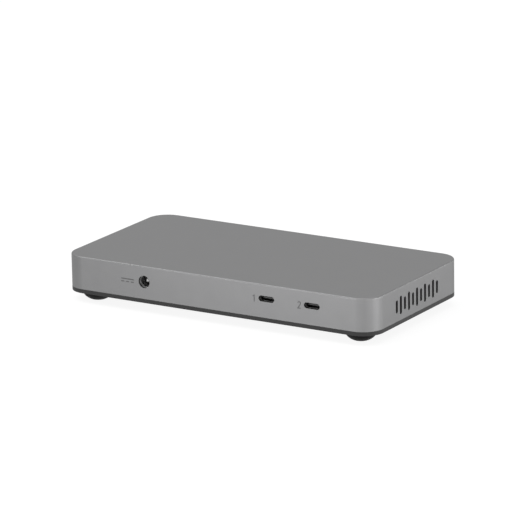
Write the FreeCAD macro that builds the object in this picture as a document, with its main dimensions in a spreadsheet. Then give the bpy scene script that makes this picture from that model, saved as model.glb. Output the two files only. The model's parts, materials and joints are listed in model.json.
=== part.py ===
import FreeCAD, Part
import math
import os
import re

import Sketcher
from FreeCAD import Vector

# A desktop USB-C hub in an aluminium housing, in millimetres.
# +Z is up and X runs along the hub. The feet stand on Z = 0, under the middle of the hub.
# The rear long side, with the power jack, faces -Y. The front long side, with the host port, faces +Y.

# Driving sizes, one row of the sheet each
SIZES = {
    # Outer form of the housing
    "body_length": 180.0,
    "body_width": 91.2,
    "corner_radius": 11.0,
    "top_edge_round": 0.7,
    "wall_thickness": 1.6,
    "roof_thickness": 2.2,
    "roof_clearance": 1.0,
    # Vent slots in the end wall at +X
    "vent_rise": 7.6,
    "vent_pitch": 4.05,
    "vent_row_shift": -0.7,
    "vent_width": 2.0,
    "short_vent_length": 6.6,
    "long_vent_length": 9.35,
    # Base cover
    "plate_thickness": 2.1,
    "lip_height": 2.0,
    "lip_thickness": 1.2,
    "lip_gap": 0.2,
    "lip_end_gap": 1.0,
    "hook_spread": 28.0,
    "hook_width": 6.0,
    "hook_height": 0.9,
    "hook_reach": 0.7,
    "hook_gap": 0.15,
    # Dome feet
    "foot_height": 5.1,
    "foot_radius": 8.25,
    "foot_flat_radius": 4.0,
    "foot_waist_radius": 7.35,
    "foot_waist_rise": 2.4,
    "foot_inset_x": 13.0,
    "foot_inset_y": 12.0,
    # Fits shared by several pieces
    "fit_gap": 0.05,
    "port_setback": 0.1,
    # Cover screws and the posts that take them
    "post_size": 6.4,
    "screw_radius": 1.25,
    "screw_head_radius": 2.5,
    "screw_grip": 7.0,
    "screw_tip_gap": 1.0,
    # Main board
    "board_thickness": 1.6,
    "board_lift": 6.5,
    "board_edge_gap": 0.6,
    "board_rib_inset": 4.0,
    "board_rib_thickness": 1.6,
    "board_rib_length": 50.0,
    # USB-C receptacles
    "usb_c_rear_x": 30.2,
    "usb_c_pitch": 26.0,
    "usb_c_host_x": -56.2,
    "usb_c_hole_width": 9.0,
    "usb_c_hole_height": 3.0,
    "usb_c_width": 8.94,
    "usb_c_height": 3.26,
    "usb_c_shell_wall": 0.3,
    "usb_c_depth": 8.0,
    "usb_c_tongue_width": 6.69,
    "usb_c_tongue_thickness": 0.7,
    "usb_c_tongue_setback": 1.0,
    "usb_c_tongue_root_width": 7.0,
    "usb_c_tongue_root_thickness": 1.2,
    "usb_c_tongue_root_length": 0.8,
    "usb_c_block_length": 2.8,
    # USB-A receptacle
    "usb_a_x": 24.0,
    "usb_a_width": 13.1,
    "usb_a_height": 5.7,
    "usb_a_shell_wall": 0.3,
    "usb_a_hole_gap": 0.1,
    "usb_a_hole_radius": 0.7,
    "usb_a_depth": 14.0,
    "usb_a_tongue_width": 11.1,
    "usb_a_tongue_thickness": 1.84,
    "usb_a_tongue_setback": 2.6,
    "usb_a_tongue_rise": 0.75,
    "usb_a_block_length": 2.7,
    # Direct-current jack
    "jack_x": -41.4,
    "jack_rise": 0.8,
    "jack_hole_radius": 3.25,
    "jack_width": 9.0,
    "jack_height": 10.0,
    "jack_depth": 14.0,
    "jack_side_gap": 0.3,
    "jack_wing_width": 2.0,
    "jack_wing_thickness": 1.4,
    "jack_wing_setback": 3.0,
    "jack_wing_length": 8.0,
    "jack_sleeve_radius": 3.0,
    "jack_sleeve_wall": 0.35,
    "jack_sleeve_length": 10.0,
    "jack_pin_radius": 1.25,
    "jack_pin_setback": 1.6,
    "jack_pin_round": 0.6,
    "jack_pin_tail": 1.5,
    "jack_pin_tail_radius": 0.8,
    # Hub controller and its cooling
    "chip_size": 13.0,
    "chip_substrate_height": 0.5,
    "chip_cap_size": 9.0,
    "chip_cap_height": 0.6,
    "chip_pad_thickness": 0.5,
    "spreader_length": 60.0,
    "spreader_width": 34.0,
    "spreader_thickness": 2.0,
    "roof_pad_thickness": 1.0,
    "roof_pad_margin": 5.0,
    # Parts of the power supply
    "inductor_size": 7.0,
    "inductor_height": 3.0,
    "capacitor_width": 4.3,
    "capacitor_length": 7.3,
    "capacitor_height": 2.8,
    "capacitor_pitch": 6.5,
    "power_chip_size": 5.0,
    "power_chip_height": 0.9,
    "part_spacing": 1.8,
    # Firmware memory and clock
    "flash_width": 5.2,
    "flash_length": 6.0,
    "flash_height": 1.6,
    "crystal_width": 2.5,
    "crystal_length": 3.2,
    "crystal_height": 0.8,
}
SHORT_VENTS = 6
LONG_VENTS = SHORT_VENTS - 1
CAPACITORS = 4

# A pattern's mark for a step that takes the pattern's own offset
USE_OFFSET = -1.0

# Levels and places that follow from the driving sizes
RIM = "(foot_height + plate_thickness)"
BOARD_BOTTOM = f"({RIM} + board_lift)"
BOARD_TOP = f"({BOARD_BOTTOM} + board_thickness)"
TALLEST = "max(usb_a_height; capacitor_height; jack_rise + jack_height / 2)"
HEADROOM = f"({TALLEST} + roof_clearance)"
CAVITY_HEIGHT = f"(board_lift + board_thickness + {HEADROOM})"
HOUSING_HEIGHT = f"({CAVITY_HEIGHT} + roof_thickness)"
INNER_LENGTH = "(body_length - 2 * wall_thickness)"
INNER_WIDTH = "(body_width - 2 * wall_thickness)"
INNER_RADIUS = "(corner_radius - wall_thickness)"
PORT_FACE = "(body_width / 2 - wall_thickness - port_setback)"
FOOT_X = "(body_length / 2 - foot_inset_x)"
FOOT_Y = "(body_width / 2 - foot_inset_y)"
BOARD_LENGTH = f"(2 * {FOOT_X} - post_size - 2 * board_edge_gap)"
BOARD_WIDTH = f"({INNER_WIDTH} - 2 * board_edge_gap)"
RIB_X = f"({BOARD_LENGTH} / 2 - board_rib_inset)"
HOOK_RISE = "(lip_height - hook_height / 2)"
HOOK_LENGTH = "(lip_thickness + lip_gap + hook_reach)"
HOOK_X = f"({INNER_LENGTH} / 2 + hook_reach - {HOOK_LENGTH} / 2)"
HOOK_SLOT_END = f"({INNER_LENGTH} / 2 + hook_reach + hook_gap)"
JACK_AXIS = f"({BOARD_TOP} + jack_rise)"
USB_C_AXIS = f"({BOARD_TOP} + usb_c_height / 2)"
USB_A_AXIS = f"({BOARD_TOP} + usb_a_height / 2)"
SPREADER_RISE = f"({HEADROOM} - roof_pad_thickness - spreader_thickness)"
CHIP_HEIGHT = "(chip_substrate_height + chip_cap_height)"

# Each USB-C port's name, place along the hub and side
USB_C_PORTS = [
    ("usb_c_rear_inner", "usb_c_rear_x", "rear"),
    ("usb_c_rear_outer", "(usb_c_rear_x + usb_c_pitch)", "rear"),
    ("usb_c_host", "usb_c_host_x", "front"),
    ("usb_c_front", "(usb_c_host_x + usb_c_pitch)", "front"),
]

doc = FreeCAD.newDocument("usb_c_hub")
sheet = doc.addObject("Spreadsheet::Sheet", "Sizes")
for row, (alias, size) in enumerate(SIZES.items(), start=1):
    sheet.set(f"A{row}", alias)
    sheet.set(f"B{row}", str(size))
    sheet.setAlias(f"B{row}", alias)
doc.recompute()


def bound(formula):
    """The formula with each size's name pointed at its cell in the sheet."""
    return re.sub(r"[a-z][a-z_]+", lambda word: f"Sizes.{word[0]}" if word[0] in SIZES else word[0], formula)


def value(formula):
    """The formula's value now, to draw a sketch close to the form that its dimensions give it."""
    return float(sheet.evalExpression(bound(formula)))


def new_body(label, x="0", y="0", z="0", side="rear"):
    """A body whose own origin lies at x, y, z. One on the front side is turned to face +Y."""
    body = doc.addObject("PartDesign::Body", label)
    body.Label = label
    half_turn = FreeCAD.Rotation(Vector(0, 0, 1), 180 if side == "front" else 0)
    body.Placement = FreeCAD.Placement(Vector(0, 0, 0), half_turn)
    for axis, formula in zip("xyz", (x, y, z)):
        body.setExpression(f"Placement.Base.{axis}", bound(formula))
    return body


def origin_feature(body, role):
    return next(feature for feature in body.Origin.OriginFeatures if feature.Role == role)


def new_sketch(body, name, plane="XY_Plane", x="0", y="0", lift="0"):
    """A sketch on one of the body's own planes, moved within it by x and y and off it by lift."""
    sketch = body.newObject("Sketcher::SketchObject", name)
    sketch.AttachmentSupport = [(origin_feature(body, plane), "")]
    sketch.MapMode = "FlatFace"
    for axis, formula in zip("xyz", (x, y, lift)):
        sketch.setExpression(f"AttachmentOffset.Base.{axis}", bound(formula))
    return sketch


def dimension(sketch, kind, *places, size):
    index = sketch.addConstraint(Sketcher.Constraint(kind, *places, value(size)))
    sketch.setExpression(f"Constraints[{index}]", bound(size))


def circle(sketch, radius):
    """A circle round the sketch's origin."""
    index = sketch.addGeometry(Part.Circle(Vector(0, 0, 0), Vector(0, 0, 1), value(radius)))
    sketch.addConstraint(Sketcher.Constraint("Coincident", index, 3, -1, 1))
    dimension(sketch, "Radius", index, size=radius)


def rectangle(sketch, width, height):
    """A rectangle centred on the sketch's origin."""
    half_x = value(width) / 2
    half_y = value(height) / 2
    corners = [(-half_x, -half_y), (half_x, -half_y), (half_x, half_y), (-half_x, half_y)]
    first = sketch.GeometryCount
    for corner in range(4):
        start = Vector(*corners[corner], 0)
        end = Vector(*corners[(corner + 1) % 4], 0)
        sketch.addGeometry(Part.LineSegment(start, end))
    for corner in range(4):
        side = first + corner
        next_side = first + (corner + 1) % 4
        sketch.addConstraint(Sketcher.Constraint("Coincident", side, 2, next_side, 1))
        sketch.addConstraint(Sketcher.Constraint("Vertical" if corner % 2 else "Horizontal", side))
    sketch.addConstraint(Sketcher.Constraint("Symmetric", first, 1, first + 2, 1, -1, 1))
    dimension(sketch, "DistanceX", first, 1, first, 2, size=width)
    dimension(sketch, "DistanceY", first + 1, 1, first + 1, 2, size=height)


def rounded_rectangle(sketch, width, height, radius):
    """A rectangle with equal corner arcs, centred on the sketch's origin."""
    half_x = value(width) / 2
    half_y = value(height) / 2
    corner_radius = value(radius)
    run_x = half_x - corner_radius
    run_y = half_y - corner_radius
    first = sketch.GeometryCount
    sides = [
        ((-run_x, -half_y), (run_x, -half_y)),
        ((half_x, -run_y), (half_x, run_y)),
        ((run_x, half_y), (-run_x, half_y)),
        ((-half_x, run_y), (-half_x, -run_y)),
    ]
    centres = [(run_x, -run_y), (run_x, run_y), (-run_x, run_y), (-run_x, -run_y)]
    for corner, (start, end) in enumerate(sides):
        sketch.addGeometry(Part.LineSegment(Vector(*start, 0), Vector(*end, 0)))
        rim = Part.Circle(Vector(*centres[corner], 0), Vector(0, 0, 1), corner_radius)
        from_angle = (corner - 1) * math.pi / 2
        sketch.addGeometry(Part.ArcOfCircle(rim, from_angle, from_angle + math.pi / 2))
    for corner in range(4):
        line = first + 2 * corner
        arc = line + 1
        next_line = first + (2 * corner + 2) % 8
        sketch.addConstraint(Sketcher.Constraint("Tangent", line, 2, arc, 1))
        sketch.addConstraint(Sketcher.Constraint("Tangent", arc, 2, next_line, 1))
        sketch.addConstraint(Sketcher.Constraint("Vertical" if corner % 2 else "Horizontal", line))
        if corner:
            sketch.addConstraint(Sketcher.Constraint("Equal", first + 1, arc))
    sketch.addConstraint(Sketcher.Constraint("Symmetric", first, 1, first + 4, 1, -1, 1))
    dimension(sketch, "DistanceX", first + 6, 1, first + 2, 1, size=width)
    dimension(sketch, "DistanceY", first, 1, first + 4, 1, size=height)
    dimension(sketch, "Radius", first + 1, size=radius)


def stadium(sketch, length, width, upright=False):
    """A slot with half-round ends, centred on the sketch's origin, lying along X or upright."""
    end_radius = value(width) / 2
    reach = value(length) / 2 - end_radius
    quarter = math.pi / 2 if upright else 0
    along = Vector(math.cos(quarter), math.sin(quarter), 0)
    across = Vector(-math.sin(quarter), math.cos(quarter), 0)
    first = sketch.GeometryCount
    for sign, from_angle in ((1, -math.pi / 2), (-1, math.pi / 2)):
        start = along * (-sign * reach) - across * (sign * end_radius)
        end = along * (sign * reach) - across * (sign * end_radius)
        sketch.addGeometry(Part.LineSegment(start, end))
        rim = Part.Circle(along * (sign * reach), Vector(0, 0, 1), end_radius)
        sketch.addGeometry(Part.ArcOfCircle(rim, from_angle + quarter, from_angle + quarter + math.pi))
    for step in range(4):
        sketch.addConstraint(Sketcher.Constraint("Tangent", first + step, 2, first + (step + 1) % 4, 1))
    sketch.addConstraint(Sketcher.Constraint("Vertical" if upright else "Horizontal", first))
    sketch.addConstraint(Sketcher.Constraint("Equal", first + 1, first + 3))
    sketch.addConstraint(Sketcher.Constraint("Symmetric", first, 1, first + 2, 1, -1, 1))
    dimension(sketch, "DistanceY" if upright else "DistanceX", first, 1, first, 2, size=f"{length} - {width}")
    dimension(sketch, "Radius", first + 1, size=f"{width} / 2")


def profile(sketch, points):
    """A closed outline of straight sides through points, given as formulas."""
    spots = [Vector(value(x), value(y), 0) for x, y in points]
    count = len(points)
    for side, start in enumerate(spots):
        sketch.addGeometry(Part.LineSegment(start, spots[(side + 1) % count]))
    for side, (x, y) in enumerate(points):
        sketch.addConstraint(Sketcher.Constraint("Coincident", side, 2, (side + 1) % count, 1))
        if x == "0":
            sketch.addConstraint(Sketcher.Constraint("PointOnObject", side, 1, -2))
        else:
            dimension(sketch, "DistanceX", -1, 1, side, 1, size=x)
        if y == "0":
            sketch.addConstraint(Sketcher.Constraint("PointOnObject", side, 1, -1))
        else:
            dimension(sketch, "DistanceY", -1, 1, side, 1, size=y)


def pad(body, sketch, length, backward=False):
    """The sketch raised along its plane's normal, or against it."""
    feature = body.newObject("PartDesign::Pad", f"{sketch.Name}_pad")
    feature.Profile = sketch
    feature.Reversed = backward
    feature.setExpression("Length", bound(length))
    sketch.Visibility = False
    doc.recompute()
    return feature


def pocket(body, sketch, length, forward=False):
    """The sketch cut against its plane's normal, or along it."""
    before = body.Shape.Volume
    feature = body.newObject("PartDesign::Pocket", f"{sketch.Name}_pocket")
    feature.Profile = sketch
    feature.Reversed = forward
    feature.setExpression("Length", bound(length))
    doc.recompute()
    if feature.Shape.isNull() or feature.Shape.Volume >= before:
        raise RuntimeError(f"{feature.Name} in {body.Label} cuts nothing")
    return feature


def lathe(body, sketch):
    """The sketch turned once round its own upright axis."""
    feature = body.newObject("PartDesign::Revolution", f"{sketch.Name}_turned")
    feature.Profile = sketch
    feature.ReferenceAxis = (sketch, ["V_Axis"])
    feature.Angle = 360
    doc.recompute()
    return feature


def groove(body, sketch):
    """The sketch, turned once round its own upright axis, cut out of the body."""
    before = body.Shape.Volume
    feature = body.newObject("PartDesign::Groove", f"{sketch.Name}_groove")
    feature.Profile = sketch
    feature.ReferenceAxis = (sketch, ["V_Axis"])
    feature.Angle = 360
    doc.recompute()
    if feature.Shape.isNull() or feature.Shape.Volume >= before:
        raise RuntimeError(f"{feature.Name} in {body.Label} cuts nothing")
    return feature


def repeat(body, features, first_run, second_run=None):
    """The features in a row, or in a grid. A run is an axis, how many, and their spacing."""
    pattern = body.newObject("PartDesign::LinearPattern", f"{features[0].Name}_row")
    pattern.Originals = features
    for number, run in (("", first_run), ("2", second_run)):
        if run is None:
            continue
        axis, count, spacing = run
        setattr(pattern, f"Direction{number}", (origin_feature(body, f"{axis}_Axis"), [""]))
        setattr(pattern, f"Mode{number}", "Spacing")
        setattr(pattern, f"Occurrences{number}", count)
        setattr(pattern, f"Spacings{number}", [USE_OFFSET] * (count - 1))
        pattern.setExpression(f"Offset{number}", bound(spacing))
    body.Tip = pattern
    doc.recompute()
    return pattern


def round_edges(body, base, radius, level):
    """A fillet on the edges of base that lie wholly at one level."""
    names = []
    for number, edge in enumerate(base.Shape.Edges, start=1):
        box = edge.BoundBox
        if abs(box.ZMin - level) < 1e-4 and abs(box.ZMax - level) < 1e-4:
            names.append(f"Edge{number}")
    feature = body.newObject("PartDesign::Fillet", f"{base.Name}_round")
    feature.Base = (base, names)
    feature.setExpression("Radius", bound(radius))
    doc.recompute()
    return feature


def port_hole(body, name, x, axis, side, draw):
    """A cut through one long wall of the housing, with its outline centred on a connector's axis."""
    lift = "body_width / 2" if side == "rear" else "-body_width / 2"
    sketch = new_sketch(body, name, "XZ_Plane", x, f"{axis} - {RIM}", lift)
    draw(sketch)
    return pocket(body, sketch, "wall_thickness + port_setback", forward=side == "front")


def mirrored_rows(body, feature, x, y):
    """The feature, drawn at minus x and minus y, at all four places plus and minus x and y."""
    return repeat(body, [feature], ("X", 2, f"2 * {x}"), ("Y", 2, f"2 * {y}"))


def usb_c_outline(sketch, grow):
    """The shell's outline with its half-round ends, grown on every side."""
    stadium(sketch, f"(usb_c_width + 2 * {grow})", f"(usb_c_height + 2 * {grow})")


def usb_c_hole(sketch):
    stadium(sketch, "usb_c_hole_width", "usb_c_hole_height")


def usb_a_hole(sketch):
    width = "(usb_a_width + 2 * usb_a_hole_gap)"
    height = "(usb_a_height + 2 * usb_a_hole_gap)"
    rounded_rectangle(sketch, width, height, "usb_a_hole_radius")


def jack_hole(sketch):
    circle(sketch, "jack_hole_radius")


def screw_head(sketch, grow):
    """The half section of a countersunk head that is as deep as the cover's plate, grown by a gap."""
    points = [
        ("0", "0"),
        (f"(screw_head_radius + {grow})", "0"),
        (f"(screw_radius + {grow})", "plate_thickness"),
        ("0", "plate_thickness"),
    ]
    profile(sketch, points)


def make_housing():
    """The aluminium shell: roof and walls in one piece, vents in one end, posts and ribs under the roof."""
    body = new_body("top_housing", z=RIM)
    outline = new_sketch(body, "housing_outline")
    rounded_rectangle(outline, "body_length", "body_width", "corner_radius")
    block = pad(body, outline, HOUSING_HEIGHT)
    round_edges(body, block, "top_edge_round", value(HOUSING_HEIGHT))
    cavity = new_sketch(body, "housing_cavity")
    rounded_rectangle(cavity, INNER_LENGTH, INNER_WIDTH, INNER_RADIUS)
    pocket(body, cavity, CAVITY_HEIGHT, forward=True)
    for name, count in (("short_vent", SHORT_VENTS), ("long_vent", LONG_VENTS)):
        start = f"vent_row_shift - vent_pitch * {count - 1}"
        vent = new_sketch(body, name, "YZ_Plane", start, "vent_rise", "body_length / 2")
        stadium(vent, f"{name}_length", "vent_width", upright=True)
        slot = pocket(body, vent, "2 * wall_thickness")
        repeat(body, [slot], ("Y", count, "2 * vent_pitch"))
    for name, x, side in USB_C_PORTS:
        port_hole(body, f"{name}_hole", x, USB_C_AXIS, side, usb_c_hole)
    port_hole(body, "usb_a_hole", "usb_a_x", USB_A_AXIS, "front", usb_a_hole)
    port_hole(body, "jack_hole", "jack_x", JACK_AXIS, "rear", jack_hole)
    post = new_sketch(body, "housing_posts", "XY_Plane", f"-{FOOT_X}", f"-{FOOT_Y}")
    rectangle(post, "post_size", "post_size")
    repeat(body, [pad(body, post, CAVITY_HEIGHT)], ("Y", 2, f"2 * {FOOT_Y}"))
    thread = new_sketch(body, "post_holes", "XY_Plane", f"-{FOOT_X}", f"-{FOOT_Y}")
    circle(thread, "(screw_radius + fit_gap)")
    hole = pocket(body, thread, "screw_grip + screw_tip_gap", forward=True)
    repeat(body, [hole], ("Y", 2, f"2 * {FOOT_Y}"))
    slot = new_sketch(body, "hook_slots", "YZ_Plane", "-hook_spread", HOOK_RISE, HOOK_SLOT_END)
    rectangle(slot, "(hook_width + 2 * hook_gap)", "(hook_height + 2 * hook_gap)")
    catch = pocket(body, slot, "2 * hook_reach")
    repeat(body, [catch], ("Y", 2, "2 * hook_spread"))
    rib = new_sketch(body, "hold_down_ribs", "XY_Plane", f"-{RIB_X}", "0", CAVITY_HEIGHT)
    rectangle(rib, "board_rib_thickness", "board_rib_length")
    repeat(body, [pad(body, rib, HEADROOM, backward=True)], ("X", 2, f"2 * {RIB_X}"))
    return body


def make_base_cover():
    """The moulded cover: a plate under the walls, lips inside them and two ribs under the board.

    It hooks into the vent end of the housing and is screwed down at the other end.
    """
    body = new_body("base_cover", z="foot_height")
    outline = new_sketch(body, "cover_outline")
    rounded_rectangle(outline, "body_length", "body_width", "corner_radius")
    pad(body, outline, "plate_thickness")
    end_lip_x = f"({INNER_LENGTH} / 2 - lip_gap - lip_thickness / 2)"
    end_lip = new_sketch(body, "end_lips", "XY_Plane", f"-{end_lip_x}", "0", "plate_thickness")
    rectangle(end_lip, "lip_thickness", f"({INNER_WIDTH} - 2 * {INNER_RADIUS} - 2 * lip_end_gap)")
    repeat(body, [pad(body, end_lip, "lip_height")], ("X", 2, f"2 * {end_lip_x}"))
    side_lip_y = f"({INNER_WIDTH} / 2 - lip_gap - lip_thickness / 2)"
    side_lip = new_sketch(body, "side_lips", "XY_Plane", "0", f"-{side_lip_y}", "plate_thickness")
    rectangle(side_lip, f"({INNER_LENGTH} - 2 * {INNER_RADIUS} - 2 * lip_end_gap)", "lip_thickness")
    repeat(body, [pad(body, side_lip, "lip_height")], ("Y", 2, f"2 * {side_lip_y}"))
    rib = new_sketch(body, "board_ribs", "XY_Plane", f"-{RIB_X}", "0", "plate_thickness")
    rectangle(rib, "board_rib_thickness", "board_rib_length")
    repeat(body, [pad(body, rib, "board_lift")], ("X", 2, f"2 * {RIB_X}"))
    sink = new_sketch(body, "screw_sinks", "XZ_Plane", f"-{FOOT_X}", "0", FOOT_Y)
    screw_head(sink, "fit_gap")
    repeat(body, [groove(body, sink)], ("Y", 2, f"2 * {FOOT_Y}"))
    hook = new_sketch(body, "cover_hooks", "XY_Plane", HOOK_X, "-hook_spread", "plate_thickness + lip_height")
    rectangle(hook, HOOK_LENGTH, "hook_width")
    repeat(body, [pad(body, hook, "hook_height", backward=True)], ("Y", 2, "2 * hook_spread"))
    return body


def make_feet():
    """Four moulded rubber domes, stuck under the cover's corners. Two of them hide the screws."""
    body = new_body("rubber_feet", f"-{FOOT_X}", f"-{FOOT_Y}")
    section = new_sketch(body, "foot_section", "XZ_Plane")
    points = [
        ("0", "0"),
        ("foot_flat_radius", "0"),
        ("foot_waist_radius", "foot_waist_rise"),
        ("foot_radius", "foot_height"),
        ("0", "foot_height"),
    ]
    profile(section, points)
    mirrored_rows(body, lathe(body, section), FOOT_X, FOOT_Y)
    return body


def make_screws():
    """Two countersunk screws, up through the cover into the housing's posts, under two of the feet."""
    body = new_body("base_screws", f"-{FOOT_X}", f"-{FOOT_Y}", "foot_height")
    head = new_sketch(body, "screw_head_section", "XZ_Plane")
    screw_head(head, "0")
    top = lathe(body, head)
    shank = new_sketch(body, "screw_shank", lift="plate_thickness")
    circle(shank, "screw_radius")
    stem = pad(body, shank, "screw_grip")
    repeat(body, [top, stem], ("Y", 2, f"2 * {FOOT_Y}"))
    return body


def make_board():
    """The circuit board, held between the cover's ribs and the housing's, with a notch for the sunk jack."""
    body = new_body("main_board", z=BOARD_BOTTOM)
    outline = new_sketch(body, "board_outline")
    rectangle(outline, BOARD_LENGTH, BOARD_WIDTH)
    pad(body, outline, "board_thickness")
    notch = new_sketch(body, "board_jack_notch", "XY_Plane", "jack_x", f"-{PORT_FACE}")
    rectangle(notch, "(jack_width + 2 * jack_side_gap)", "2 * (jack_depth + jack_pin_tail + jack_side_gap)")
    pocket(body, notch, "board_thickness", forward=True)
    return body


def connector_body(label, x, axis, side):
    """A body at the middle of a connector's mouth, with +Y into the hub."""
    sign = "-" if side == "rear" else ""
    return new_body(label, x, f"{sign}{PORT_FACE}", axis, side)


def make_usb_c(name, x, side):
    """One USB-C receptacle: a drawn steel shell and a tongue moulded in one with its rear block."""
    shell = connector_body(f"{name}_shell", x, USB_C_AXIS, side)
    section = new_sketch(shell, f"{name}_shell_section", "XZ_Plane")
    usb_c_outline(section, "0")
    usb_c_outline(section, "-usb_c_shell_wall")
    pad(shell, section, "usb_c_depth", backward=True)

    tongue = connector_body(f"{name}_tongue", x, USB_C_AXIS, side)
    block = new_sketch(tongue, f"{name}_block", "XZ_Plane", lift="-(usb_c_depth - usb_c_block_length)")
    rectangle(block, "(usb_c_width - usb_c_height)", "(usb_c_height - 2 * usb_c_shell_wall - 2 * fit_gap)")
    pad(tongue, block, "usb_c_block_length", backward=True)
    root_length = "(usb_c_block_length + usb_c_tongue_root_length)"
    root = new_sketch(tongue, f"{name}_root", "XZ_Plane", lift=f"-(usb_c_depth - {root_length})")
    rectangle(root, "usb_c_tongue_root_width", "usb_c_tongue_root_thickness")
    pad(tongue, root, root_length, backward=True)
    blade = new_sketch(tongue, f"{name}_blade", "XZ_Plane", lift="-usb_c_tongue_setback")
    rectangle(blade, "usb_c_tongue_width", "usb_c_tongue_thickness")
    pad(tongue, blade, "usb_c_depth - usb_c_tongue_setback", backward=True)

    return [shell, tongue]


def make_usb_a():
    """The USB-A receptacle: a folded steel shell and a tongue moulded in one with its rear block."""
    shell = connector_body("usb_a_shell", "usb_a_x", USB_A_AXIS, "front")
    section = new_sketch(shell, "usb_a_shell_section", "XZ_Plane")
    rectangle(section, "usb_a_width", "usb_a_height")
    rectangle(section, "(usb_a_width - 2 * usb_a_shell_wall)", "(usb_a_height - 2 * usb_a_shell_wall)")
    pad(shell, section, "usb_a_depth", backward=True)

    tongue = connector_body("usb_a_tongue", "usb_a_x", USB_A_AXIS, "front")
    block = new_sketch(tongue, "usb_a_block", "XZ_Plane", lift="-(usb_a_depth - usb_a_block_length)")
    fill = "2 * (usb_a_shell_wall + fit_gap)"
    rectangle(block, f"(usb_a_width - {fill})", f"(usb_a_height - {fill})")
    pad(tongue, block, "usb_a_block_length", backward=True)
    blade = new_sketch(tongue, "usb_a_blade", "XZ_Plane", "0", "usb_a_tongue_rise", "-usb_a_tongue_setback")
    rectangle(blade, "usb_a_tongue_width", "usb_a_tongue_thickness")
    pad(tongue, blade, "usb_a_depth - usb_a_tongue_setback", backward=True)

    return [shell, tongue]


def make_jack():
    """The power jack: a moulded body sunk in the board, a plated sleeve and a turned centre pin."""
    sleeve_outside = "(jack_sleeve_radius + jack_sleeve_wall)"
    body = connector_body("power_jack_body", "jack_x", JACK_AXIS, "rear")
    front = new_sketch(body, "jack_front", "XZ_Plane")
    rectangle(front, "jack_width", "jack_height")
    pad(body, front, "jack_depth", backward=True)
    wing_y = "(jack_wing_setback + jack_wing_length / 2)"
    wing = new_sketch(body, "jack_wings", "XY_Plane", "0", wing_y, "-jack_rise")
    rectangle(wing, "(jack_width + 2 * jack_side_gap + 2 * jack_wing_width)", "jack_wing_length")
    pad(body, wing, "jack_wing_thickness")
    bore = new_sketch(body, "jack_bore", "XZ_Plane")
    circle(bore, f"({sleeve_outside} + fit_gap)")
    pocket(body, bore, "jack_sleeve_length")
    pin_hole = new_sketch(body, "jack_pin_hole", "XZ_Plane")
    circle(pin_hole, "(jack_pin_tail_radius + fit_gap)")
    pocket(body, pin_hole, "jack_depth")

    sleeve = connector_body("power_jack_sleeve", "jack_x", JACK_AXIS, "rear")
    wall = new_sketch(sleeve, "jack_sleeve_section", "XY_Plane")
    points = [
        (sleeve_outside, "0"),
        (sleeve_outside, "jack_sleeve_length"),
        ("jack_sleeve_radius", "jack_sleeve_length"),
        ("jack_sleeve_radius", "0"),
    ]
    profile(wall, points)
    lathe(sleeve, wall)

    pin = connector_body("power_jack_pin", "jack_x", JACK_AXIS, "rear")
    section = new_sketch(pin, "jack_pin_section", "XY_Plane")
    points = [
        ("0", "jack_pin_setback"),
        ("(jack_pin_radius - jack_pin_round)", "jack_pin_setback"),
        ("jack_pin_radius", "(jack_pin_setback + jack_pin_round)"),
        ("jack_pin_radius", "jack_sleeve_length"),
        ("jack_pin_tail_radius", "jack_sleeve_length"),
        ("jack_pin_tail_radius", "(jack_depth + jack_pin_tail)"),
        ("0", "(jack_depth + jack_pin_tail)"),
    ]
    profile(section, points)
    lathe(pin, section)
    return [body, sleeve, pin]


def make_block(label, x, y, width, depth, height, z=BOARD_TOP):
    """A plain moulded package, standing on the board unless another level is given."""
    body = new_body(label, x, y, z)
    outline = new_sketch(body, f"{label}_outline")
    rectangle(outline, width, depth)
    pad(body, outline, height)
    return body


def make_controller():
    """The hub controller with its cooling: a pad, a spreader plate with a foot, and a pad to the roof."""
    chip = make_block("hub_controller_chip", "0", "0", "chip_size", "chip_size", "chip_substrate_height")
    cap = new_sketch(chip, "chip_cap", lift="chip_substrate_height")
    rectangle(cap, "chip_cap_size", "chip_cap_size")
    pad(chip, cap, "chip_cap_height")
    pad_level = f"{BOARD_TOP} + {CHIP_HEIGHT}"
    chip_pad = make_block("controller_thermal_pad", "0", "0", "chip_cap_size", "chip_cap_size",
                          "chip_pad_thickness", pad_level)

    spreader = new_body("heat_spreader", z=f"{BOARD_TOP} + {SPREADER_RISE}")
    plate = new_sketch(spreader, "spreader_plate")
    rectangle(plate, "spreader_length", "spreader_width")
    pad(spreader, plate, "spreader_thickness")
    pedestal = new_sketch(spreader, "spreader_pedestal")
    rectangle(pedestal, "chip_size", "chip_size")
    pad(spreader, pedestal, f"{SPREADER_RISE} - {CHIP_HEIGHT} - chip_pad_thickness", backward=True)

    roof_pad_level = f"{BOARD_TOP} + {HEADROOM} - roof_pad_thickness"
    roof_pad = make_block("roof_thermal_pad", "0", "0", "(spreader_length - 2 * roof_pad_margin)",
                          "(spreader_width - 2 * roof_pad_margin)", "roof_pad_thickness", roof_pad_level)
    return [chip, chip_pad, spreader, roof_pad]


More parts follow.
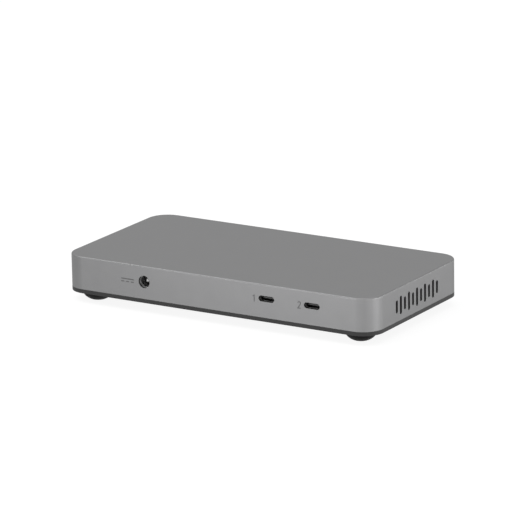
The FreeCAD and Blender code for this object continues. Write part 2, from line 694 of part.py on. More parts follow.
def make_power_supply():
    """Behind each USB-C port an inductor and a power chip, and a row of capacitors behind the jack."""
    pieces = []
    inductor_y = f"({PORT_FACE} - usb_c_depth - part_spacing - inductor_size / 2)"
    chip_y = f"({inductor_y} - inductor_size / 2 - part_spacing - power_chip_size / 2)"
    packages = [
        ("power_inductor", inductor_y, "inductor_size", "inductor_height"),
        ("port_power_chip", chip_y, "power_chip_size", "power_chip_height"),
    ]
    for number, (_, x, side) in enumerate(USB_C_PORTS, start=1):
        sign = "-" if side == "rear" else ""
        for label, y, size, height in packages:
            pieces.append(make_block(f"{label}_{number}", x, f"{sign}{y}", size, size, height))
    row_y = f"-({PORT_FACE} - jack_depth - jack_pin_tail - part_spacing - capacitor_length / 2)"
    for number in range(CAPACITORS):
        x = f"jack_x + capacitor_pitch * {number - (CAPACITORS - 1) / 2}"
        label = f"polymer_capacitor_{number + 1}"
        pieces.append(make_block(label, x, row_y, "capacitor_width", "capacitor_length", "capacitor_height"))
    return pieces


def make_memory_and_clock():
    """The firmware memory and the clock crystal, beside the heat spreader."""
    flash_x = "(spreader_length / 2 + part_spacing + flash_width / 2)"
    crystal_y = "(flash_length / 2 + part_spacing + crystal_length / 2)"
    return [
        make_block("firmware_flash_chip", flash_x, "0", "flash_width", "flash_length", "flash_height"),
        make_block("clock_crystal", flash_x, crystal_y, "crystal_width", "crystal_length", "crystal_height"),
    ]


pieces = [make_housing(), make_base_cover(), make_feet(), make_screws(), make_board()]
for port_name, port_x, port_side in USB_C_PORTS:
    pieces += make_usb_c(port_name, port_x, port_side)
pieces += make_usb_a()
pieces += make_jack()
pieces += make_controller()
pieces += make_power_supply()
pieces += make_memory_and_clock()
doc.recompute()

for thing in doc.Objects:
    if "Invalid" in thing.State or "Error" in thing.State:
        raise RuntimeError(f"{thing.Label} failed: {thing.State}")
for piece in pieces:
    if piece.Shape.isNull() or not piece.Shape.isValid() or not piece.Shape.Solids:
        raise RuntimeError(f"{piece.Label} has no valid solid")

os.makedirs("parts", exist_ok=True)
for piece in pieces:
    piece.Shape.exportStep(f"parts/{piece.Label}.step")
    print(f"{piece.Label}: {len(piece.Shape.Solids)} solid(s), {piece.Shape.Volume:.1f} mm3")
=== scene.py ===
import json
import math

import bmesh
import bpy
from mathutils import Matrix, Vector

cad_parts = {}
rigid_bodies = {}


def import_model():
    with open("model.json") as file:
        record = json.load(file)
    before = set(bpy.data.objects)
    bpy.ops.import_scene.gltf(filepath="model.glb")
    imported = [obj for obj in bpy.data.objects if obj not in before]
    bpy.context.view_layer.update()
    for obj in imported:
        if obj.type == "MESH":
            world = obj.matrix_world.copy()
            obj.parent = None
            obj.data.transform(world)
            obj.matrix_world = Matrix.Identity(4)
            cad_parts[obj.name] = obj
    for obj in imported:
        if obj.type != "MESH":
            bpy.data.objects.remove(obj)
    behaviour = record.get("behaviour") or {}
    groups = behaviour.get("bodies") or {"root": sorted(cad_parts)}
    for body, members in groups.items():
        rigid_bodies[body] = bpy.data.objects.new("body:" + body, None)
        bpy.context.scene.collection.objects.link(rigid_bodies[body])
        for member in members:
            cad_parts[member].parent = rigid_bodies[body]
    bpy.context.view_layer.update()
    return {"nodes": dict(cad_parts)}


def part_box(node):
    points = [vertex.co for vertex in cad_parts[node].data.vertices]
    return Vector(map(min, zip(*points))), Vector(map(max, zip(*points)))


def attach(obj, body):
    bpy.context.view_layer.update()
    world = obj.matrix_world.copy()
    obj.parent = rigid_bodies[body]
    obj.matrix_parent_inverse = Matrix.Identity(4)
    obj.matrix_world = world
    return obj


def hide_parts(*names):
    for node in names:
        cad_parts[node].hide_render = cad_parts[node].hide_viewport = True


for leftover in list(bpy.data.objects):
    bpy.data.objects.remove(leftover)

# A desktop USB-C hub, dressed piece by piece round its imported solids, in metres.
# The rear long side, with the power jack, faces -Y. The vents are in the end at +X.
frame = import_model()
MM = 0.001


# Top housing
# One milled aluminium shell, bead blasted and anodised grey, with vent slots and port openings.
# It stands on the base cover, hooked at the vent end and screwed down at the other.
BLAST_PIT = 0.11 * MM
BLAST_DEPTH = 0.004 * MM
HOUSING_GREY = (0.225, 0.225, 0.227)
HOUSING_GREY_DARK = (0.205, 0.205, 0.207)
# Blasted metal stays dull where it is seen at a low angle.
LOW_ANGLE_TINT = (0.78, 0.78, 0.78, 1.0)
METAL = ("Metallic", 1.0)


def grain_group():
    """Fine pits and slow clouding, the marks that blasting, moulding or etching leave on a surface."""
    group = bpy.data.node_groups.new("surface_grain", "ShaderNodeTree")
    for label in ("Pit Size", "Cloud Size"):
        group.interface.new_socket(label, in_out="INPUT", socket_type="NodeSocketFloat")
    for label in ("Pits", "Clouds"):
        group.interface.new_socket(label, in_out="OUTPUT", socket_type="NodeSocketFloat")
    nodes = group.nodes
    links = group.links
    given = nodes.new("NodeGroupInput")
    result = nodes.new("NodeGroupOutput")
    place = nodes.new("ShaderNodeTexCoord")
    for size, wanted, detail in (("Pit Size", "Pits", 2.0), ("Cloud Size", "Clouds", 4.0)):
        per_metre = nodes.new("ShaderNodeMath")
        per_metre.operation = "DIVIDE"
        per_metre.inputs[0].default_value = 1.0
        links.new(given.outputs[size], per_metre.inputs[1])
        noise = nodes.new("ShaderNodeTexNoise")
        noise.inputs["Detail"].default_value = detail
        links.new(place.outputs["Object"], noise.inputs["Vector"])
        links.new(per_metre.outputs["Value"], noise.inputs["Scale"])
        links.new(noise.outputs["Fac"], result.inputs[wanted])
    return group


GRAIN = grain_group()


def finish_material(name, colours, roughness, pit, depth, cloud, plain=()):
    """A procedural finish: clouded colour, roughness that follows the clouds, and fine pits as bump.

    colours and roughness are each a pair, for the darkest and the lightest clouds.
    pit and cloud are sizes across the surface, and depth is how deep the pits are.
    plain holds the shader's sockets that are the same all over the surface.
    """
    material = bpy.data.materials.new(name)
    material.use_nodes = True
    nodes = material.node_tree.nodes
    links = material.node_tree.links
    shader = nodes["Principled BSDF"]
    for socket, setting in plain:
        shader.inputs[socket].default_value = setting
    grain = nodes.new("ShaderNodeGroup")
    grain.node_tree = GRAIN
    grain.inputs["Pit Size"].default_value = pit
    grain.inputs["Cloud Size"].default_value = cloud
    tone = nodes.new("ShaderNodeMix")
    tone.data_type = "RGBA"
    tone.inputs["A"].default_value = (*colours[0], 1.0)
    tone.inputs["B"].default_value = (*colours[1], 1.0)
    links.new(grain.outputs["Clouds"], tone.inputs["Factor"])
    links.new(tone.outputs["Result"], shader.inputs["Base Color"])
    gloss = nodes.new("ShaderNodeMapRange")
    gloss.inputs["To Min"].default_value = roughness[0]
    gloss.inputs["To Max"].default_value = roughness[1]
    links.new(grain.outputs["Clouds"], gloss.inputs["Value"])
    links.new(gloss.outputs["Result"], shader.inputs["Roughness"])
    bump = nodes.new("ShaderNodeBump")
    bump.inputs["Distance"].default_value = depth
    links.new(grain.outputs["Pits"], bump.inputs["Height"])
    links.new(bump.outputs["Normal"], shader.inputs["Normal"])
    return material


def dress(material, *names):
    """Gives CAD nodes their finish, each in its own material slot."""
    for name in names:
        frame["nodes"][name].material_slots[0].material = material


housing_finish = finish_material(
    "housing_bead_blasted",
    colours=(HOUSING_GREY_DARK, HOUSING_GREY),
    roughness=(0.40, 0.46),
    pit=BLAST_PIT,
    depth=BLAST_DEPTH,
    cloud=9 * MM,
    plain=[METAL, ("Specular Tint", LOW_ANGLE_TINT)],
)
dress(housing_finish, "top_housing")


# Base cover
# A moulded plate of dark grey plastic with a fine spark-eroded texture, a strip below the aluminium.
# Its hooks sit in the vent end of the housing, and its ribs carry the board.
cover_finish = finish_material(
    "cover_moulded_grey",
    colours=((0.034, 0.034, 0.034), (0.045, 0.045, 0.045)),
    roughness=(0.50, 0.62),
    pit=0.18 * MM,
    depth=0.012 * MM,
    cloud=6 * MM,
    plain=[("Specular IOR Level", 0.26)],
)
dress(cover_finish, "base_cover")


# Rubber feet
# Four black rubber domes with a small flat to stand on, stuck under the corners of the base cover.
# Two of them hide the cover's screws.
FOOT_RADIUS = 8.25 * MM
FOOT_FLAT = 4.0 * MM
FOOT_RINGS = 14
FOOT_RING_CROWDING = 1.6
FOOT_SIDES = 72
SAME_POINT = 0.001 * MM
feet_low, feet_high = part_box("rubber_feet")
FOOT_HEIGHT = feet_high.z - feet_low.z

foot_finish = finish_material(
    "foot_black_rubber",
    colours=((0.005, 0.005, 0.005), (0.008, 0.008, 0.008)),
    roughness=(0.52, 0.68),
    pit=0.25 * MM,
    depth=0.010 * MM,
    cloud=3 * MM,
    plain=[("Specular IOR Level", 0.12)],
)


def foot_radius_at(height):
    """The dome is part of an ellipse that is widest where the foot meets the cover."""
    depth = FOOT_HEIGHT / math.sqrt(1 - (FOOT_FLAT / FOOT_RADIUS) ** 2)
    return FOOT_RADIUS * math.sqrt(1 - ((FOOT_HEIGHT - height) / depth) ** 2)


def foot_mesh():
    """One closed dome, its rings closer together near the flat, where it curves most."""
    bm = bmesh.new()
    heights = [FOOT_HEIGHT * (step / FOOT_RINGS) ** FOOT_RING_CROWDING for step in range(FOOT_RINGS + 1)]
    profile = [bm.verts.new((foot_radius_at(height), 0, height)) for height in heights]
    edges = [bm.edges.new(pair) for pair in zip(profile, profile[1:])]
    bmesh.ops.spin(
        bm, geom=profile + edges, cent=(0, 0, 0), axis=(0, 0, 1), angle=math.tau, steps=FOOT_SIDES,
    )
    bmesh.ops.remove_doubles(bm, verts=bm.verts[:], dist=SAME_POINT)
    bmesh.ops.holes_fill(bm, edges=[edge for edge in bm.edges if edge.is_boundary])
    bmesh.ops.recalc_face_normals(bm, faces=bm.faces[:])
    for face in bm.faces:
        face.smooth = len(face.verts) == 4
    mesh = bpy.data.meshes.new("foot_dome")
    bm.to_mesh(mesh)
    bm.free()
    return mesh


def end_tree(tree, instances, given):
    """Makes a tree's instances real and gives them the finish that the tree was handed."""
    real = tree.nodes.new("GeometryNodeRealizeInstances")
    finish = tree.nodes.new("GeometryNodeSetMaterial")
    result = tree.nodes.new("NodeGroupOutput")
    tree.links.new(instances, real.inputs["Geometry"])
    tree.links.new(real.outputs["Geometry"], finish.inputs["Geometry"])
    tree.links.new(given.outputs["Finish"], finish.inputs["Material"])
    tree.links.new(finish.outputs["Geometry"], result.inputs["Geometry"])


def corner_feet_tree():
    """A grid of two by two points, with one foot set on each."""
    tree = bpy.data.node_groups.new("corner_feet", "GeometryNodeTree")
    tree.interface.new_socket("Geometry", in_out="INPUT", socket_type="NodeSocketGeometry")
    tree.interface.new_socket("Length Between", in_out="INPUT", socket_type="NodeSocketFloat")
    tree.interface.new_socket("Width Between", in_out="INPUT", socket_type="NodeSocketFloat")
    tree.interface.new_socket("Finish", in_out="INPUT", socket_type="NodeSocketMaterial")
    tree.interface.new_socket("Geometry", in_out="OUTPUT", socket_type="NodeSocketGeometry")
    nodes = tree.nodes
    links = tree.links
    given = nodes.new("NodeGroupInput")
    grid = nodes.new("GeometryNodeMeshGrid")
    grid.inputs["Vertices X"].default_value = 2
    grid.inputs["Vertices Y"].default_value = 2
    links.new(given.outputs["Length Between"], grid.inputs["Size X"])
    links.new(given.outputs["Width Between"], grid.inputs["Size Y"])
    placed = nodes.new("GeometryNodeInstanceOnPoints")
    links.new(grid.outputs["Mesh"], placed.inputs["Points"])
    links.new(given.outputs["Geometry"], placed.inputs["Instance"])
    end_tree(tree, placed.outputs["Instances"], given)
    return tree


def grow(name, mesh, tree, **inputs):
    """The plain mesh that a geometry tree makes of a start mesh, as an object at the origin."""
    seed = bpy.data.objects.new(f"{name}_start", mesh)
    bpy.context.scene.collection.objects.link(seed)
    modifier = seed.modifiers.new("tree", "NODES")
    modifier.node_group = tree
    sockets = {item.name: item.identifier for item in tree.interface.items_tree if item.in_out == "INPUT"}
    for label, setting in inputs.items():
        modifier[sockets[label.replace("_", " ").title()]] = setting
    evaluated = seed.evaluated_get(bpy.context.evaluated_depsgraph_get())
    grown = bpy.data.meshes.new_from_object(evaluated)
    grown.name = name
    bpy.data.objects.remove(seed)
    piece = bpy.data.objects.new(name, grown)
    bpy.context.scene.collection.objects.link(piece)
    return piece


feet = grow(
    "rubber_feet_domes", foot_mesh(), corner_feet_tree(),
    length_between=feet_high.x - feet_low.x - 2 * FOOT_RADIUS,
    width_between=feet_high.y - feet_low.y - 2 * FOOT_RADIUS,
    finish=foot_finish,
)
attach(feet, "root")
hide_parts("rubber_feet")


# Cover screws
# Two countersunk steel screws, black zinc plated, up through the cover into the housing's posts.
# Each head lies in a sink in the cover, hidden by one of the feet.
screw_finish = finish_material(
    "screw_black_zinc",
    colours=((0.10, 0.10, 0.105), (0.15, 0.15, 0.155)),
    roughness=(0.30, 0.42),
    pit=0.08 * MM,
    depth=0.003 * MM,
    cloud=1.5 * MM,
    plain=[METAL],
)
dress(screw_finish, "base_screws")


# Main board
# Glass-fibre laminate under a dark solder mask, held between the ribs of the cover and of the housing.
# Only its edge shows, in the dark behind the vents.
board_finish = finish_material(
    "board_solder_mask",
    colours=((0.006, 0.016, 0.012), (0.012, 0.028, 0.020)),
    roughness=(0.30, 0.45),
    pit=0.3 * MM,
    depth=0.01 * MM,
    cloud=4 * MM,
)
dress(board_finish, "main_board")


# USB-C receptacles
# Each is a drawn stainless shell, nickel plated, round a dark grey moulded tongue with plated contacts. The
# shells' colour is much darker than real nickel: painted shade that makes the port mouths look dark.
# Twelve contacts lie on each face of the tongue, half a millimetre apart.
USB_C_PORTS = ("usb_c_rear_inner", "usb_c_rear_outer", "usb_c_host", "usb_c_front")
USB_C_CONTACTS = 12
USB_C_CONTACT_PITCH = 0.5 * MM
USB_C_CONTACT_WIDTH = 0.26 * MM
USB_C_CONTACT_LENGTH = 3.4 * MM
USB_C_CONTACT_SETBACK = 0.6 * MM
USB_C_TONGUE_THICKNESS = 0.7 * MM
CONTACT_RISE = 0.02 * MM

# Painted shade: this nickel is far darker than real plating, so that the shells darken the port mouths the
# way shade would.
shell_nickel_painted_shade = finish_material(
    "shell_nickel_darkened_as_shade",
    colours=((0.13, 0.13, 0.128), (0.18, 0.18, 0.178)),
    roughness=(0.36, 0.46),
    pit=0.06 * MM,
    depth=0.002 * MM,
    cloud=2 * MM,
    plain=[METAL],
)
tongue_finish = finish_material(
    "tongue_grey_moulded",
    colours=((0.058, 0.058, 0.059), (0.078, 0.078, 0.079)),
    roughness=(0.40, 0.52),
    pit=0.07 * MM,
    depth=0.004 * MM,
    cloud=1.2 * MM,
)
contact_finish = finish_material(
    "contact_plated",
    colours=((0.38, 0.38, 0.377), (0.48, 0.48, 0.477)),
    roughness=(0.22, 0.32),
    pit=0.05 * MM,
    depth=0.002 * MM,
    cloud=0.8 * MM,
    plain=[METAL],
)


def contact_tree():
    """Rows of flat strips: so many across, on one face of a tongue or on both."""
    tree = bpy.data.node_groups.new("contact_rows", "GeometryNodeTree")
    tree.interface.new_socket("Geometry", in_out="INPUT", socket_type="NodeSocketGeometry")
    for label in ("Contacts", "Faces"):
        tree.interface.new_socket(label, in_out="INPUT", socket_type="NodeSocketInt")
    for label in ("Spread", "Face Distance"):
        tree.interface.new_socket(label, in_out="INPUT", socket_type="NodeSocketFloat")
    for label in ("Strip", "Middle"):
        tree.interface.new_socket(label, in_out="INPUT", socket_type="NodeSocketVector")
    tree.interface.new_socket("Finish", in_out="INPUT", socket_type="NodeSocketMaterial")
    tree.interface.new_socket("Geometry", in_out="OUTPUT", socket_type="NodeSocketGeometry")
    nodes = tree.nodes
    links = tree.links
    given = nodes.new("NodeGroupInput")
    grid = nodes.new("GeometryNodeMeshGrid")
    links.new(given.outputs["Contacts"], grid.inputs["Vertices X"])
    links.new(given.outputs["Faces"], grid.inputs["Vertices Y"])
    links.new(given.outputs["Spread"], grid.inputs["Size X"])
    links.new(given.outputs["Face Distance"], grid.inputs["Size Y"])
    upright = nodes.new("GeometryNodeTransform")
    upright.inputs["Rotation"].default_value = (math.pi / 2, 0, 0)
    links.new(grid.outputs["Mesh"], upright.inputs["Geometry"])
    links.new(given.outputs["Middle"], upright.inputs["Translation"])
    strip = nodes.new("GeometryNodeMeshCube")
    links.new(given.outputs["Strip"], strip.inputs["Size"])
    placed = nodes.new("GeometryNodeInstanceOnPoints")
    links.new(upright.outputs["Geometry"], placed.inputs["Points"])
    links.new(strip.outputs["Mesh"], placed.inputs["Instance"])
    end_tree(tree, placed.outputs["Instances"], given)
    return tree


CONTACT_TREE = contact_tree()


def inward(low):
    """+1 where a port's mouth is on the rear side and the hub lies towards +Y from it, else -1."""
    return 1 if low.y < 0 else -1


for port in USB_C_PORTS:
    dress(shell_nickel_painted_shade, f"{port}_shell")
    dress(tongue_finish, f"{port}_tongue")
    low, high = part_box(f"{port}_tongue")
    way = inward(low)
    tip = low.y if way > 0 else high.y
    middle = (low + high) / 2
    middle.y = tip + way * (USB_C_CONTACT_SETBACK + USB_C_CONTACT_LENGTH / 2)
    contacts = grow(
        f"{port}_contacts", bpy.data.meshes.new("empty"), CONTACT_TREE,
        contacts=USB_C_CONTACTS,
        faces=2,
        spread=USB_C_CONTACT_PITCH * (USB_C_CONTACTS - 1),
        face_distance=USB_C_TONGUE_THICKNESS,
        strip=(USB_C_CONTACT_WIDTH, USB_C_CONTACT_LENGTH, 2 * CONTACT_RISE),
        middle=middle,
        finish=contact_finish,
    )
    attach(contacts, "root")


# USB-A receptacle
# A folded steel shell, nickel plated, round a dark grey moulded tongue.
# Four plated contacts lie along the underside of the tongue.
USB_A_CONTACTS = 4
USB_A_CONTACT_SPREAD = 7.0 * MM
USB_A_CONTACT_WIDTH = 1.1 * MM
USB_A_CONTACT_LENGTH = 6.5 * MM
USB_A_CONTACT_SETBACK = 1.2 * MM
USB_A_TONGUE_BOTTOM = 0.17 * MM

# The USB-A shell takes the same darkened nickel, painted shade in its mouth.
dress(shell_nickel_painted_shade, "usb_a_shell")
dress(tongue_finish, "usb_a_tongue")
low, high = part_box("usb_a_tongue")
middle = (low + high) / 2
middle.y = high.y - USB_A_CONTACT_SETBACK - USB_A_CONTACT_LENGTH / 2
middle.z = middle.z - USB_A_TONGUE_BOTTOM
usb_a_contacts = grow(
    "usb_a_contacts", bpy.data.meshes.new("empty"), CONTACT_TREE,
    contacts=USB_A_CONTACTS,
    faces=1,
    spread=USB_A_CONTACT_SPREAD,
    face_distance=0.0,
    strip=(USB_A_CONTACT_WIDTH, USB_A_CONTACT_LENGTH, 2 * CONTACT_RISE),
    middle=middle,
    finish=contact_finish,
)
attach(usb_a_contacts, "root")


# Power jack
# A black moulded body sunk in the board, with a bright nickel-plated sleeve and a turned centre pin.
# A plug goes in over the pin, through the round opening in the housing's rear side.
jack_body_finish = finish_material(
    "jack_black_moulded",
    colours=((0.028, 0.028, 0.029), (0.040, 0.040, 0.041)),
    roughness=(0.38, 0.50),
    pit=0.09 * MM,
    depth=0.005 * MM,
    cloud=2 * MM,
)
jack_metal_finish = finish_material(
    "jack_satin_nickel",
    colours=((0.57, 0.57, 0.565), (0.70, 0.70, 0.695)),
    roughness=(0.34, 0.44),
    pit=0.05 * MM,
    depth=0.001 * MM,
    cloud=1.5 * MM,
    plain=[METAL],
)
dress(jack_body_finish, "power_jack_body")
dress(jack_metal_finish, "power_jack_sleeve")
dress(contact_finish, "power_jack_pin")


# Laser marks
# Fine dark marks in the rear face: a number by each USB-C port and the direct-current sign by the jack.
# They are burnt into the aluminium, and made as thin slabs, sunk in the metal and a hair proud of it.
MARK_PROUD = 0.01 * MM
MARK_THICKNESS = 0.03 * MM
MARK_DROP = 0.4 * MM
NUMBER_HEIGHT = 3.5 * MM
NUMBER_STROKE = 0.48 * MM
NUMBER_OFFSET = 7.2 * MM
SIGN_WIDTH = 7.5 * MM
SIGN_OFFSET = 9.9 * MM
SIGN_STROKE = 0.55 * MM
SIGN_LINE_RISE = 0.7 * MM
SIGN_DASHES = 3
SIGN_DASH_SHARE = 0.24

mark_finish = finish_material(
    "mark_laser_grey",
    colours=((0.095, 0.095, 0.095), (0.115, 0.115, 0.115)),
    roughness=(0.48, 0.58),
    pit=0.10 * MM,
    depth=0.003 * MM,
    cloud=1 * MM,
)
REAR_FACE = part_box("top_housing")[0].y


def rear_mark(name, port, offset, lines, stroke):
    """Lines of even width in the housing's rear face, to the left of a port, mitred where they bend.

    They are drawn lying flat, given their thickness, and then stood up in their place.
    """
    bm = bmesh.new()
    for line in lines:
        points = [Vector(point) for point in line]
        ways = [(end - start).normalized() for start, end in zip(points, points[1:])]
        sides = []
        for point, before, after in zip(points, ways[:1] + ways, ways + ways[-1:]):
            along = (before + after).normalized()
            across = Vector((-along.y, along.x)) * stroke / 2 / along.dot(after)
            sides.append([bm.verts.new((point + way * across).to_3d()) for way in (1, -1)])
        for (left, right), (next_left, next_right) in zip(sides, sides[1:]):
            bm.faces.new((right, next_right, next_left, left))
    bm.normal_update()
    bmesh.ops.solidify(bm, geom=bm.faces[:], thickness=MARK_THICKNESS)
    mesh = bpy.data.meshes.new(name)
    bm.to_mesh(mesh)
    bm.free()
    low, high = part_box(port)
    middle = (low + high) / 2
    place = Vector((middle.x - offset, REAR_FACE - MARK_PROUD, middle.z - MARK_DROP))
    mesh.transform(Matrix.Translation(place) @ Matrix.Rotation(math.pi / 2, 4, "X"))
    mesh.materials.append(mark_finish)
    piece = bpy.data.objects.new(name, mesh)
    bpy.context.scene.collection.objects.link(piece)
    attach(piece, "root")


def numeral_one():
    """A stem with a short flag, in shares of the numeral's height."""
    return [(-0.19, 0.28), (0.05, 0.44), (0.05, -0.50)]


def numeral_two():
    """A bow, a slanting back and a flat foot, in shares of the numeral's height."""
    bow_radius = 0.22
    bow_rise = 0.26
    bow_start = 170
    bow_turn = 205
    bow_steps = 14
    turns = [math.radians(bow_start - bow_turn * step / bow_steps) for step in range(bow_steps + 1)]
    bow = [(bow_radius * math.cos(turn), bow_rise + bow_radius * math.sin(turn)) for turn in turns]
    return bow + [(-0.22, -0.45), (0.24, -0.45)]


def direct_current():
    """A full line over a dashed one."""
    dash = SIGN_WIDTH * SIGN_DASH_SHARE
    step = (SIGN_WIDTH - dash) / (SIGN_DASHES - 1)
    lines = [[(-SIGN_WIDTH / 2, SIGN_LINE_RISE), (SIGN_WIDTH / 2, SIGN_LINE_RISE)]]
    for number in range(SIGN_DASHES):
        start = number * step - SIGN_WIDTH / 2
        lines.append([(start, -SIGN_LINE_RISE), (start + dash, -SIGN_LINE_RISE)])
    return lines


for port, numeral in (("usb_c_rear_inner", numeral_one()), ("usb_c_rear_outer", numeral_two())):
    scaled = [Vector(point) * NUMBER_HEIGHT for point in numeral]
    rear_mark(f"{port}_number", f"{port}_shell", NUMBER_OFFSET, [scaled], NUMBER_STROKE)
rear_mark("direct_current_sign", "power_jack_sleeve", SIGN_OFFSET, direct_current(), SIGN_STROKE)


# Hub controller and its cooling
# A moulded chip on its carrier, two grey silicone pads and a bare aluminium plate.
# The plate is held between the pads and takes the chip's heat to the roof of the housing.
chip_finish = finish_material(
    "chip_black_moulded",
    colours=((0.014, 0.014, 0.014), (0.022, 0.022, 0.022)),
    roughness=(0.45, 0.60),
    pit=0.06 * MM,
    depth=0.004 * MM,
    cloud=1 * MM,
)
pad_finish = finish_material(
    "pad_grey_silicone",
    colours=((0.24, 0.27, 0.30), (0.31, 0.34, 0.37)),
    roughness=(0.62, 0.75),
    pit=0.15 * MM,
    depth=0.010 * MM,
    cloud=3 * MM,
)
spreader_finish = finish_material(
    "spreader_bare_aluminium",
    colours=((0.55, 0.55, 0.555), (0.65, 0.65, 0.655)),
    roughness=(0.30, 0.42),
    pit=0.12 * MM,
    depth=0.004 * MM,
    cloud=7 * MM,
    plain=[METAL],
)
dress(chip_finish, "hub_controller_chip")
dress(pad_finish, "controller_thermal_pad", "roof_thermal_pad")
dress(spreader_finish, "heat_spreader")


# Power parts
# Behind each USB-C port a pressed-powder inductor and a power chip, soldered to the board.
# Capacitors in moulded cases stand behind the jack.
POWER_PARTS = 4
inductor_finish = finish_material(
    "inductor_pressed_powder",
    colours=((0.055, 0.055, 0.057), (0.085, 0.085, 0.087)),
    roughness=(0.55, 0.70),
    pit=0.10 * MM,
    depth=0.008 * MM,
    cloud=1 * MM,
)
capacitor_finish = finish_material(
    "capacitor_moulded_case",
    colours=((0.018, 0.018, 0.019), (0.028, 0.028, 0.029)),
    roughness=(0.42, 0.55),
    pit=0.08 * MM,
    depth=0.004 * MM,
    cloud=1 * MM,
)
for number in range(1, POWER_PARTS + 1):
    dress(inductor_finish, f"power_inductor_{number}")
    dress(chip_finish, f"port_power_chip_{number}")
    dress(capacitor_finish, f"polymer_capacitor_{number}")


# Memory and clock
# The firmware memory in its moulded package, and the crystal under a plated steel lid.
# Both are soldered to the board.
crystal_finish = finish_material(
    "crystal_plated_lid",
    colours=((0.48, 0.48, 0.47), (0.58, 0.58, 0.57)),
    roughness=(0.22, 0.32),
    pit=0.05 * MM,
    depth=0.002 * MM,
    cloud=0.7 * MM,
    plain=[METAL],
)
dress(chip_finish, "firmware_flash_chip")
dress(crystal_finish, "clock_crystal")


# Stage
# A wide white floor under the feet, which takes the hub's shadow.
# Its own glow brings it up to the white behind it.
FLOOR_SIZE = 12.0
FLOOR_WHITE = (0.16, 0.16, 0.16)
FLOOR_GLOW = 0.90


def seen_directly(tree):
    """1 for a ray from the camera, or by way of metal or glass, and 0 for light that falls on the hub."""
    ray = tree.nodes.new("ShaderNodeLightPath")
    seen = ray.outputs["Is Camera Ray"]
    for kind in ("Is Glossy Ray", "Is Transmission Ray"):
        either = tree.nodes.new("ShaderNodeMath")
        either.operation = "MAXIMUM"
        tree.links.new(seen, either.inputs[0])
        tree.links.new(ray.outputs[kind], either.inputs[1])
        seen = either.outputs["Value"]
    return seen


def floor_material():
    """White paper with a glow of its own from above, and clear from below, so that the base can be seen."""
    material = bpy.data.materials.new("floor_white")
    material.use_nodes = True
    nodes = material.node_tree.nodes
    links = material.node_tree.links
    nodes.remove(nodes["Principled BSDF"])
    paper = nodes.new("ShaderNodeBsdfDiffuse")
    paper.inputs["Color"].default_value = (*FLOOR_WHITE, 1.0)
    glow_level = nodes.new("ShaderNodeMath")
    glow_level.operation = "MULTIPLY"
    glow_level.inputs[1].default_value = FLOOR_GLOW
    links.new(seen_directly(material.node_tree), glow_level.inputs[0])
    glow = nodes.new("ShaderNodeEmission")
    links.new(glow_level.outputs["Value"], glow.inputs["Strength"])
    both = nodes.new("ShaderNodeAddShader")
    links.new(paper.outputs["BSDF"], both.inputs[0])
    links.new(glow.outputs["Emission"], both.inputs[1])
    side = nodes.new("ShaderNodeNewGeometry")
    clear = nodes.new("ShaderNodeBsdfTransparent")
    from_below = nodes.new("ShaderNodeMixShader")
    links.new(side.outputs["Backfacing"], from_below.inputs["Fac"])
    links.new(both.outputs["Shader"], from_below.inputs[1])
    links.new(clear.outputs["BSDF"], from_below.inputs[2])
    links.new(from_below.outputs["Shader"], nodes["Material Output"].inputs["Surface"])
    return material


floor_mesh = bpy.data.meshes.new("floor")
half = FLOOR_SIZE / 2
floor_corners = [(-half, -half, 0), (half, -half, 0), (half, half, 0), (-half, half, 0)]
floor_mesh.from_pydata(floor_corners, [], [(0, 1, 2, 3)])
floor_mesh.materials.append(floor_material())
floor = bpy.data.objects.new("floor", floor_mesh)
bpy.context.scene.collection.objects.link(floor)


# Light
# A white surround, and a ring of low strip lights in front and to the right that only the sides see.
# A softbox over the left shoulder draws the bright line along the top edge, and another hangs overhead.
SURROUND = 0.55
world = bpy.data.worlds.new("white_surround")
world.use_nodes = True
bpy.context.scene.world = world
level = world.node_tree.nodes.new("ShaderNodeMapRange")
level.inputs["To Min"].default_value = SURROUND
level.inputs["To Max"].default_value = 1.0
background = world.node_tree.nodes["Background"]
background.inputs["Color"].default_value = (1.0, 1.0, 1.0, 1.0)
world.node_tree.links.new(seen_directly(world.node_tree), level.inputs["Value"])
world.node_tree.links.new(level.outputs["Result"], background.inputs["Strength"])

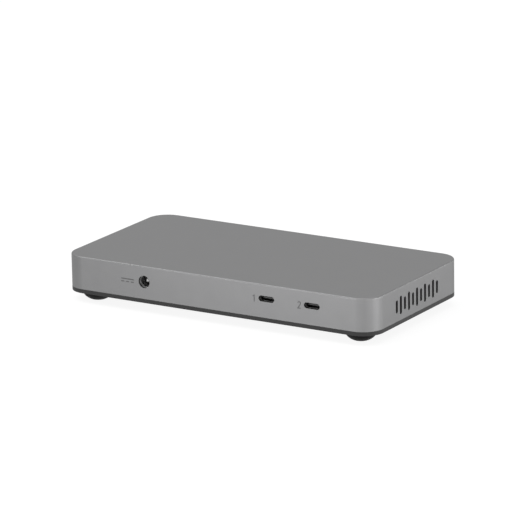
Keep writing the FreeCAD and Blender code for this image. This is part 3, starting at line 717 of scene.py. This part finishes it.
# Each lamp has an azimuth and elevation in degrees, a distance, width and height in metres, and watts.
LAMPS = (
    ("front_strip", -12, 2, 0.40, 0.24, 0.02, 0.29),
    ("near_strip", 25, 2, 0.42, 0.16, 0.02, 0.10),
    ("corner_strip", 57, 2, 0.48, 0.20, 0.02, 0.15),
    ("right_strip", 94, 2, 0.50, 0.34, 0.02, 0.60),
    ("end_strip", 127, 2, 0.50, 0.16, 0.02, 0.20),
    ("shoulder_softbox", -61, 56, 1.4, 0.7, 0.5, 3.6),
    ("overhead_softbox", 0, 85, 1.8, 1.8, 1.8, 9.5),
)


def around(azimuth, elevation):
    """The direction from the hub at an azimuth, from -Y towards +X, and an elevation, in degrees."""
    turn = math.radians(azimuth)
    rise = math.radians(elevation)
    return Vector((math.sin(turn) * math.cos(rise), -math.cos(turn) * math.cos(rise), math.sin(rise)))


for name, azimuth, elevation, distance, width, height, watts in LAMPS:
    lamp = bpy.data.lights.new(name, "AREA")
    lamp.shape = "RECTANGLE"
    lamp.size = width
    lamp.size_y = height
    lamp.energy = watts
    holder = bpy.data.objects.new(name, lamp)
    way = around(azimuth, elevation)
    holder.location = way * distance
    holder.rotation_mode = "QUATERNION"
    holder.rotation_quaternion = way.to_track_quat("Z", "Y")
    bpy.context.scene.collection.objects.link(holder)


# Camera
# A long lens, a little above the hub, that sees the rear side and the vent end.
# It stands far back, so that the hub's long edges run almost parallel.
CAMERA_AZIMUTH = 31.51
CAMERA_ELEVATION = 15.80
CAMERA_ROLL = -1.0
CAMERA_DISTANCE = 2149.3 * MM
CAMERA_AIM = Vector((-0.59, 3.92, 17.93)) * MM
CAMERA_LENS = 288.95
CAMERA_SENSOR = 36.0
CAMERA_REACH = 30.0

camera_data = bpy.data.cameras.new("camera")
camera_data.lens = CAMERA_LENS
camera_data.sensor_width = CAMERA_SENSOR
camera_data.clip_end = CAMERA_REACH
camera = bpy.data.objects.new("camera", camera_data)
back = around(CAMERA_AZIMUTH, CAMERA_ELEVATION)
roll = Matrix.Rotation(math.radians(CAMERA_ROLL), 3, "Z")
camera.matrix_world = Matrix.Translation(CAMERA_AIM + back * CAMERA_DISTANCE) @ (
    (-back).to_track_quat("-Z", "Y").to_matrix() @ roll
).to_4x4()
bpy.context.scene.collection.objects.link(camera)
bpy.context.scene.camera = camera
bpy.context.scene.view_settings.view_transform = "Standard"
